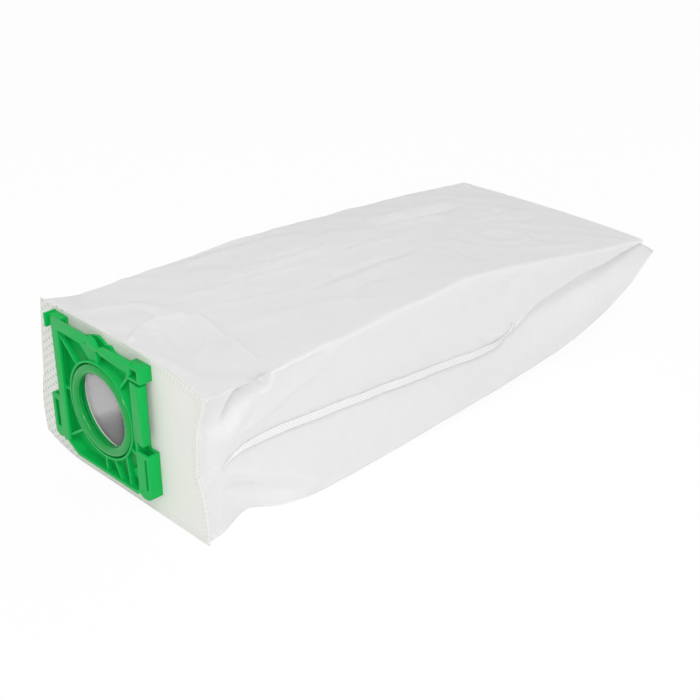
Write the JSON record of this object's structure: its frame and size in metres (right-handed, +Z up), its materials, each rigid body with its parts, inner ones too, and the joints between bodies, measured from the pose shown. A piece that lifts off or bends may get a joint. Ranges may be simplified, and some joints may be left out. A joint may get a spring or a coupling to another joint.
{
  "type": "vacuum cleaner dust bag",
  "caption": "Empty non-woven fabric dust bag with tucked sides, a stiff end panel and a moulded inlet collar with a round sealing ring.",
  "frame": {"origin": "centre of the bag's box along X and Y, at the surface that it lies on", "axes": "+X from the collar to the closed tail, +Y across the bag, +Z up from the surface that it lies on"},
  "size_m": [0.4272, 0.188, 0.1057],
  "materials": {
    "sleeve_fabric": "white non-woven fabric with a very fine bonded grain",
    "panel_fleece": "cream stiffened fleece with a dotted border",
    "collar_plastic": "satin green moulded plastic",
    "ring_plastic": "glossy green soft plastic"
  },
  "bodies": {
    "root": {"filter_sleeve": "sleeve_fabric", "end_panel": "panel_fleece", "inlet_collar": "collar_plastic", "sealing_ring": "ring_plastic"}
  },
  "joints": []
}
